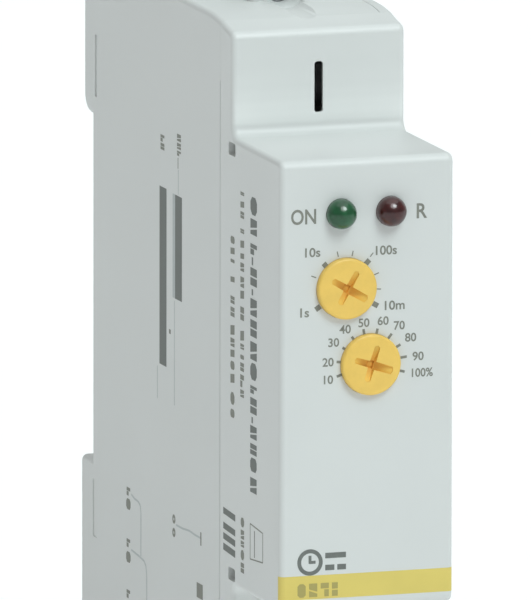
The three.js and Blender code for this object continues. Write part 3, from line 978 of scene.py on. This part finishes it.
# ------------------------------------------------------------- clip and spring
clip = prism(
    [
        (1.3, -17.4),
        (1.3, -16.0),
        (1.7, -16.0),
        (3.7, -18.2),
        (3.7, -46.8),
        (3.3, -47.2),
        (1.0, -47.2),
        (1.0, -17.9),
    ],
    "X",
    -3.9,
    3.9,
    0.22,
    lambda p, q: max(p.y, q.y) > 1.2 and (abs(p.x) > 3.8 and abs(p.x - q.x) < 1e-3 or min(p.y, q.y) > 3.2),
    3,
)
clip = join(
    clip,
    block(-5.1, 5.1, 0.3, 1.3, -44.4, -17.9, 0.15, lambda p, q: abs(p.z - q.z) > 5, 2),
    block(-3.9, 3.9, 0.3, 1.3, -47.2, -44),
)
clip = cut(
    clip,
    block(-1.9, 1.9, -1, 5, -39.7, -25.7, 0.3, lambda p, q: abs(p.y - q.y) > 1, 3),
    block(-2.2, 2.2, 2.2, 5, -46.0, -43.2, 0.3, lambda p, q: abs(p.y - q.y) > 1, 3),
)
for k in range(4):  # finger ribs
    clip = cut(clip, block(-3.0, 3.0, 3.45, 4.0, -21.2 - 0.9 * k, -20.8 - 0.9 * k))
finish_piece(clip, "rail_clip_piece", M_CLIP, "rail_clip", ["din_clip"])

cu = bpy.data.curves.new("spring_curve", "CURVE")
cu.dimensions = "3D"
cu.bevel_depth = 0.22
cu.bevel_resolution = 3
cu.use_fill_caps = True
sp = cu.splines.new("POLY")
TURNS, STEPS, R = 8.5, 8 * 34, 1.08
zs = []
for i in range(STEPS + 1):
    t = i / STEPS
    # closed end turns, open coils between
    u = t * TURNS
    lead = 0.45
    if u < 1:
        zz = lead * u
    elif u > TURNS - 1:
        zz = 1 - (TURNS - u) * lead
    zs.append(u)
z0, z1 = -37.9 + 0.22, -26.0 - 0.22
sp.points.add(STEPS)
for i, u in enumerate(zs):
    if u < 1:
        zz = z0 + 0.46 * u
    elif u > TURNS - 1:
        zz = z1 - 0.46 * (TURNS - u)
    else:
        zz = z0 + 0.46 + (z1 - z0 - 0.92) * (u - 1) / (TURNS - 2)
    a = 2 * math.pi * u
    sp.points[i].co = (R * math.cos(a), 1.85 + R * math.sin(a), zz, 1)
tmp = bpy.data.objects.new("spring_tmp", cu)
scene.collection.objects.link(tmp)
dg = bpy.context.evaluated_depsgraph_get()
spring_mesh = bpy.data.meshes.new_from_object(tmp.evaluated_get(dg))
bpy.data.objects.remove(tmp)
spring = bpy.data.objects.new("clip_spring_wire", spring_mesh)
scene.collection.objects.link(spring)
finish_piece(spring, "clip_spring_wire", M_SPRING, "housing", ["clip_spring"], angle=50)
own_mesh(spring)

# ------------------------------------------------- inner pieces: finish and edges
INNER = {
    M_BOARD: ["main_circuit_board", "front_circuit_board"],
    M_BLUE: ["range_potentiometer", "fine_potentiometer"],
    M_BLACK: ["board_link_header", "relay_case", "relay_base", "bridge_rectifier", "controller_chip"],
    M_CREAM: ["relay_bobbin"],
    M_COPPER: ["relay_winding"] + [n for n in NODES if n.startswith("contact_bar")],
    M_STEEL: [n for n in NODES if n.startswith("clamp_cage")],
    M_SPRING: ["relay_core", "relay_yoke", "relay_armature"],
    M_BRASS: ["relay_moving_contact", "relay_contact_nc", "relay_contact_no"],
    M_RESIN_RED: ["film_capacitor"],
    M_RESIN_BLUE: ["varistor", "electrolytic_capacitor"],
}
for mat, names in INNER.items():
    for nm in names:
        o = NODES[nm]
        o.data.materials.clear()
        o.data.materials.append(mat)
        d = o.modifiers.new("planar", "DECIMATE")
        d.decimate_type = "DISSOLVE"
        d.angle_limit = math.radians(1)
        b = o.modifiers.new("edge", "BEVEL")
        b.width = 0.00012
        b.segments = 2
        b.limit_method = "ANGLE"
        b.angle_limit = math.radians(40)
        w = o.modifiers.new("weighted", "WEIGHTED_NORMAL")
        w.keep_sharp = True


# -------------------------------------------------------------------- printing
FILM = 0.016  # thickness of the ink, mm
SINK = 0.006


class Film:
    """Thin closed ink bodies on a plane. (u, v) are (x, z) on the front and (y, z) on the sides."""

    def __init__(self, plane, level):
        self.bm = bmesh.new()
        self.plane, self.level, self.count = plane, level, 0

    def place(self, u, v, w):
        if self.plane == "front":
            return (u, self.level - w, v)
        return (self.level - w, u, v) if self.plane == "left" else (self.level + w, u, v)

    def poly(self, pts):
        self.count += 1
        lift = 0.0007 * (self.count % 7)
        lo = [self.bm.verts.new(self.place(u, v, -SINK - lift)) for u, v in pts]
        hi = [self.bm.verts.new(self.place(u, v, FILM - lift)) for u, v in pts]
        n = len(pts)
        self.bm.faces.new(lo)
        self.bm.faces.new(hi[::-1])
        for i in range(n):
            j = (i + 1) % n
            self.bm.faces.new((lo[j], lo[i], hi[i], hi[j]))

    def rect(self, u0, u1, v0, v1):
        self.poly([(u0, v0), (u1, v0), (u1, v1), (u0, v1)])

    def stroke(self, p, q, w):
        (a, b), (c, d) = p, q
        L = math.hypot(c - a, d - b)
        nx, ny = -(d - b) / L * w / 2, (c - a) / L * w / 2
        self.poly([(a + nx, b + ny), (c + nx, d + ny), (c - nx, d - ny), (a - nx, b - ny)])

    def arc(self, cu, cv, r, a0, a1, w, n=28):
        full = abs(a1 - a0) >= 359.9
        k = n if full else n + 1
        rows = []
        for i in range(k):
            a = math.radians(a0 + (a1 - a0) * i / n)
            row = []
            for rr in (r - w / 2, r + w / 2):
                for h in (-SINK, FILM):
                    row.append(
                        self.bm.verts.new(self.place(cu + rr * math.cos(a), cv + rr * math.sin(a), h))
                    )
            rows.append(row)
        last = k if full else k - 1
        for i in range(last):
            p, q = rows[i], rows[(i + 1) % k]
            for a, b in ((0, 1), (1, 3), (3, 2), (2, 0)):
                self.bm.faces.new((p[a], p[b], q[b], q[a]))
        if not full:
            for row in (rows[0], rows[-1]):
                self.bm.faces.new((row[0], row[1], row[3], row[2]))

    def text(self, s, u, v, height, align="CENTER", angle=0.0, stretch=1.0):
        """Plain numerals and letters, centred on v."""
        c = bpy.data.curves.new("t", "FONT")
        c.body = s
        c.size = height / 0.72
        c.resolution_u = 4
        c.extrude = (FILM + SINK) / 2
        c.offset = 0.024 * height
        o = bpy.data.objects.new("t", c)
        scene.collection.objects.link(o)
        dg = bpy.context.evaluated_depsgraph_get()
        me = bpy.data.meshes.new_from_object(o.evaluated_get(dg))
        bpy.data.objects.remove(o)
        xs = [p.co.x for p in me.vertices]
        ys = [p.co.y for p in me.vertices]
        w, mid = max(xs) - min(xs), (max(ys) + min(ys)) / 2
        off = {"LEFT": 0, "CENTER": -w / 2, "RIGHT": -w}[align] - min(xs)
        ca, sa = math.cos(angle), math.sin(angle)
        for p in me.vertices:
            a, b, h = (p.co.x + off) * stretch, p.co.y - mid, p.co.z + (FILM - SINK) / 2
            p.co = self.place(u + a * ca - b * sa, v + a * sa + b * ca, h)
        self.bm.from_mesh(me)
        bpy.data.meshes.remove(me)

    def done(self, name, mat):
        bmesh.ops.remove_doubles(self.bm, verts=self.bm.verts[:], dist=1e-5)
        o = new_object(name, self.bm)
        return finish_piece(o, name, mat, "housing", (), weld=False)


# scales of the dials
f = Film("front", NOSE_Y)
f.text("ON", -6.6, 16.93, 1.5, stretch=0.82)
f.text("R", 5.66, 16.93, 1.5, stretch=0.9)
C1, C2 = (-2.3, 9.65), (0.25, 1.95)
for x, z in ((-4.33, 11.98), (0.02, 12.09), (-5.1, 7.78), (0.86, 7.8)):
    t = math.atan2(z - C1[1], x - C1[0])
    ca, sa = math.cos(t), math.sin(t)
    f.stroke((x - 0.3 * ca, z - 0.3 * sa), (x + 0.3 * ca, z + 0.3 * sa), 0.52)
for x, z in ((-5.21, 10.78), (-3.04, 12.96), (-1.49, 13.17), (0.9, 10.85), (1.32, 9.33)):
    t = math.atan2(z - C1[1], x - C1[0])
    ca, sa = math.cos(t), math.sin(t)
    f.stroke((C1[0] + 3.2 * ca, C1[1] + 3.2 * sa), (C1[0] + 3.75 * ca, C1[1] + 3.75 * sa), 0.11)
f.text("10s", -5.65, 13.34, 0.92, stretch=1.05)
f.text("100s", 1.98, 13.19, 0.92, stretch=1.02)
f.text("1s", -6.48, 7.37, 0.92, stretch=1.05)
f.text("10m", 2.86, 7.65, 0.92, stretch=1.05)
f.stroke((0.3, 12.6), (0.62, 13.0), 0.1)
LABELS = (
    ("10", -4.0, 0.55),
    ("20", -4.04, 2.3),
    ("30", -3.46, 4.24),
    ("40", -2.28, 5.5),
    ("50", -0.33, 6.05),
    ("60", 1.66, 6.15),
    ("70", 3.34, 5.6),
    ("80", 4.52, 4.34),
    ("90", 5.3, 2.42),
    ("100%", 5.74, 0.77),
)
TICKS = (
    (-2.86, 0.91),
    (-2.86, 2.26),
    (-2.3, 3.53),
    (-1.42, 4.48),
    (-0.33, 5.12),
    (1.02, 5.1),
    (2.37, 4.57),
    (3.2, 3.53),
    (3.83, 2.4),
    (3.62, 1.01),
)
for (label, x, z), (tx, tz) in zip(LABELS, TICKS):
    f.text(label, x, z, 0.86, stretch=1.0 if label != "100%" else 0.92)
    t = math.atan2(tz - C2[1], tx - C2[0])
    ca, sa = math.cos(t), math.sin(t)
    f.stroke((tx - 0.36 * ca, tz - 0.36 * sa), (tx + 0.3 * ca, tz + 0.3 * sa), 0.26)
f.done("print_dial_scales", M_INK)

# plain clock sign low on the nose
f = Film("front", NOSE_Y)
f.arc(-5.88, -17.62, 1.12, 0, 360, 0.4, 48)
f.stroke((-5.88, -17.72), (-5.88, -16.95), 0.3)
f.stroke((-5.99, -17.62), (-5.3, -17.62), 0.3)
f.rect(-4.3, -2.15, -17.3, -16.75)
f.rect(-4.3, -3.35, -18.5, -17.95)
f.rect(-3.05, -2.15, -18.5, -17.95)
f.done("print_clock_sign", M_INK_DARK)

# coloured band that wraps the rounded edges of the nose
bm = bmesh.new()
path = []
for k in range(0, 9):
    a = math.pi + (math.pi / 2) * k / 8
    path.append((-8.4 + 0.6 * math.cos(a), NOSE_Y + 0.6 + 0.6 * math.sin(a), math.cos(a), math.sin(a)))
for k in range(0, 9):
    a = 1.5 * math.pi + (math.pi / 2) * k / 8
    path.append((8.4 + 0.6 * math.cos(a), NOSE_Y + 0.6 + 0.6 * math.sin(a), math.cos(a), math.sin(a)))
rows = []
for x, y, nx, ny in path:
    row = []
    for zz in (-21.32, -18.95):
        for h in (-SINK, FILM * 0.8):
            row.append(bm.verts.new((x + nx * h, y + ny * h, zz)))
    rows.append(row)
for p, q in zip(rows, rows[1:]):
    for a, b in ((0, 1), (1, 3), (3, 2), (2, 0)):
        bm.faces.new((p[a], p[b], q[b], q[a]))
for row in (rows[0], rows[-1]):
    bm.faces.new((row[0], row[1], row[3], row[2]))
band = new_object("band", bm)
finish_piece(band, "yellow_band", M_STRIPE, "housing", (), weld=False)

# side print: bars of a timing chart, rows of unreadable marks, a small contact sketch
rnd = random.Random(11)
f = Film("left", -HALF_W)
f.rect(-24.2, -22.0, -4.05, 13.95)
f.rect(-29.15, -27.0, 3.35, 13.85)
f.done("print_chart_bars", M_INK_DARK)


def glyph(f, y, half, a, b, kind, w=0):
    """Unreadable mark between heights a and b: blots and bars that look like print from afar."""
    h = b - a
    k = min(half, h / 2) * 0.55
    if kind == 0:  # blot
        f.poly(
            [
                (y - half + k, a),
                (y + half - k, a),
                (y + half, a + k),
                (y + half, b - k),
                (y + half - k, b),
                (y - half + k, b),
                (y - half, b - k),
                (y - half, a + k),
            ]
        )
    elif kind == 1:  # wedge and bar
        f.poly([(y - half, b), (y - half, b - 0.42 * h), (y + half, b - 0.62 * h), (y + half, b)])
        f.poly([(y - half, a), (y - half, a + 0.46 * h), (y + half, a + 0.24 * h), (y + half, a)])
    elif kind == 2:  # wide head, narrow foot
        f.rect(y - half, y + half, b - 0.4 * h, b)
        f.rect(y - 0.1 * half, y + half, a, b - 0.48 * h)
    elif kind == 3:  # two blocks
        f.rect(y - half, y + half, a, a + 0.44 * h)
        f.rect(y - half, y + half, a + 0.54 * h, b)
    else:  # slanted block
        f.poly([(y - half, a + 0.16 * h), (y - half, b), (y + half, b - 0.16 * h), (y + half, a)])


f = Film("front", NOSE_Y - FILM)
for k, (u, w) in enumerate(((-6.75, 0.42), (-5.55, 0.42), (-4.35, 0.42), (-3.3, 0.3))):
    glyph(f, u, w, -21.1, -19.75, k)
f.done("print_stripe_marks", M_INK_OLIVE)

BOLD = (
    (17.69, 15.79, 0),
    (15.49, 13.8, 1),
    (13.0, 11.8, 2),
    (11.6, 10.8, 9),
    (10.6, 8.7, 3),
    (8.4, 7.8, 9),
    (7.5, 5.7, 1),
    (5.4, 3.6, 3),
    (3.2, 1.29, 1),
    (1.09, -0.71, 0),
    (-1.21, -2.11, 2),
    (-2.41, -4.11, 3),
    (-4.41, -5.01, 9),
    (-5.21, -6.62, 1),
    (-7.02, -8.22, 3),
    (-8.42, -9.92, 0),
    (-10.43, -12.03, 1),
)
f = Film("left", -HALF_W)
for b, a, kind in BOLD:
    if kind == 9:
        f.rect(-51.75, -51.35, a, b)
    else:
        glyph(f, -51.95, 1.0, a + 0.06, b - 0.06, kind)
for b, a in ((-15.0, -15.75), (-16.5, -17.25), (-17.55, -18.3), (-18.6, -19.4)):
    f.poly([(-42.45, b), (-42.45, a + 0.1), (-46.2, a - 0.1), (-46.2, b - 0.2)])
f.done("print_side_rows_dark", M_INK_DARK)

ROW1 = (
    (17.67, 17.17),
    (16.77, 15.9),
    (15.7, 14.87),
    (13.97, 13.37),
    (12.87, 11.87),
    (11.57, 10.77),
    (10.57, 9.57),
    (9.17, 7.96),
    (7.86, 6.76),
    (6.16, 4.66),
    (3.86, 2.55),
    (2.45, 1.75),
    (1.35, 0.75),
    (0.55, -0.45),
    (-0.65, -2.06),
    (-2.16, -3.06),
)
ROW2 = (
    (12.75, 11.85),
    (11.65, 10.74),
    (10.44, 9.94),
    (8.74, 7.94),
    (6.73, 5.83),
    (5.63, 4.53),
    (3.92, 2.62),
    (2.52, 1.52),
    (1.42, 0.41),
    (0.21, -0.79),
    (-0.99, -2.2),
    (-2.9, -4.31),
    (-4.61, -5.61),
)
f = Film("left", -HALF_W)
for y, half, rows in ((-48.35, 0.56, ROW1), (-45.3, 0.62, ROW2)):
    for b, a in rows:
        glyph(f, y, half, a + 0.08, b - 0.08, rnd.randrange(5))
for b, a in ((-15.05, -16.0), (-16.3, -17.2), (-17.4, -18.0), (-18.3, -19.3), (-19.6, -20.6)):
    glyph(f, -48.5, 0.5, a, b, rnd.randrange(4), 0.24)
for b, a in ((19.2, 18.5), (18.35, 17.7)):
    glyph(f, -22.9, 0.6, a, b, rnd.randrange(4), 0.2)
for b, a in ((20.1, 19.4), (19.2, 18.6), (18.4, 17.9)):
    glyph(f, -28.2, 0.6, a, b, rnd.randrange(4), 0.2)
f.stroke((-27.9, 17.7), (-27.9, 16.6), 0.16)
f.rect(-25.6, -25.05, -0.5, -0.05)
# contact sketch
for z in (-18.83, -24.08, -29.28):
    glyph(f, -11.94, 0.55, z - 0.42, z + 0.42, 2, 0.26)
for z in (-20.1, -25.5):
    glyph(f, -11.94, 0.7, z - 0.55, z + 0.55, 0, 0.36)
f.arc(-26.65, -19.03, 0.32, 0, 360, 0.3, 20)
f.arc(-26.65, -20.4, 0.32, 0, 360, 0.3, 20)
f.stroke((-35.3, -18.85), (-35.3, -20.2), 0.32)
f.rect(-35.9, -34.0, -25.6, -24.1)
# framed field near the front edge
f.stroke((-52.3, -15.7), (-52.3, -18.4), 0.2)
f.stroke((-50.95, -15.2), (-50.95, -18.75), 0.13)
f.stroke((-54.9, -15.5), (-54.9, -18.45), 0.13)
f.stroke((-50.95, -15.2), (-54.9, -15.5), 0.13)
f.stroke((-50.95, -18.75), (-54.9, -18.45), 0.13)
f.done("print_side_rows", M_INK)
f = Film("left", -HALF_W)
f.rect(-27.0, -26.2, 3.35, 13.85)
f.stroke((-21.31, -4.4), (-21.31, -7.7), 0.14)
f.stroke((-26.77, 3.1), (-26.79, -7.5), 0.14)
f.stroke((-28.0, 16.5), (-28.0, 14.0), 0.12)
for path in (
    ((-12.9, -18.95), (-13.9, -19.2), (-15.2, -19.3), (-15.8, -19.6), (-16.0, -20.3), (-16.0, -23.6), (-16.0, -24.7)),
    ((-12.9, -24.6), (-15.35, -24.79), (-17.0, -25.0), (-17.62, -25.4), (-17.9, -26.3), (-17.95, -31.5)),
    ((-27.4, -19.5), (-29.5, -19.5), (-31.6, -19.35), (-33.6, -19.45), (-35.1, -19.45)),
):
    for p, q in zip(path, path[1:]):
        f.stroke(p, q, 0.2)
f.done("print_side_lines", M_INK_LIGHT)

# ------------------------------------------------------------- floor and light
bm = bmesh.new()
bmesh.ops.create_grid(bm, x_segments=8, y_segments=8, size=3.0)
floor = new_object("floor", bm)
floor.location = (0, 0, -0.04725)
fm = bpy.data.materials.new("floor_paper")
fm.use_nodes = True
fb = fm.node_tree.nodes["Principled BSDF"]
fn = fm.node_tree.nodes.new("ShaderNodeTexNoise")
fn.inputs["Scale"].default_value = 40
fr = fm.node_tree.nodes.new("ShaderNodeValToRGB")
fr.color_ramp.elements[0].color = (0.90, 0.90, 0.90, 1)
fr.color_ramp.elements[1].color = (0.93, 0.93, 0.93, 1)
fm.node_tree.links.new(fn.outputs["Fac"], fr.inputs["Fac"])
fm.node_tree.links.new(fr.outputs["Color"], fb.inputs["Base Color"])
fb.inputs["Roughness"].default_value = 0.9
fb.inputs["Specular IOR Level"].default_value = 0.0
fb.inputs["Emission Color"].default_value = (1, 1, 1, 1)
fb.inputs["Emission Strength"].default_value = 0.13
floor.data.materials.append(fm)

world = bpy.data.worlds.new("studio")
scene.world = world
world.use_nodes = True
bg = world.node_tree.nodes["Background"]
bg.inputs["Color"].default_value = (1.0, 1.0, 1.0, 1)
bg.inputs["Strength"].default_value = 0.30


def sun(name, direction, power, angle, colour=(1, 1, 1)):
    L = bpy.data.lights.new(name, "SUN")
    L.angle = math.radians(angle)
    L.energy = power
    L.color = colour
    o = bpy.data.objects.new(name, L)
    scene.collection.objects.link(o)
    o.rotation_mode = "QUATERNION"
    o.rotation_quaternion = Vector(direction).normalized().to_track_quat("Z", "Y")
    return o


sun("key", (0.2, -0.62, 0.75), 1.56, 26, (0.875, 1.0, 1.015))
window = sun("window", (0.02, -0.64, 0.77), 1.7, 40)
window.visible_diffuse = False  # a soft window that only shows as gloss
sun("top", (0.05, 0.12, 1.0), 1.12, 70, (0.93, 1.0, 1.005))
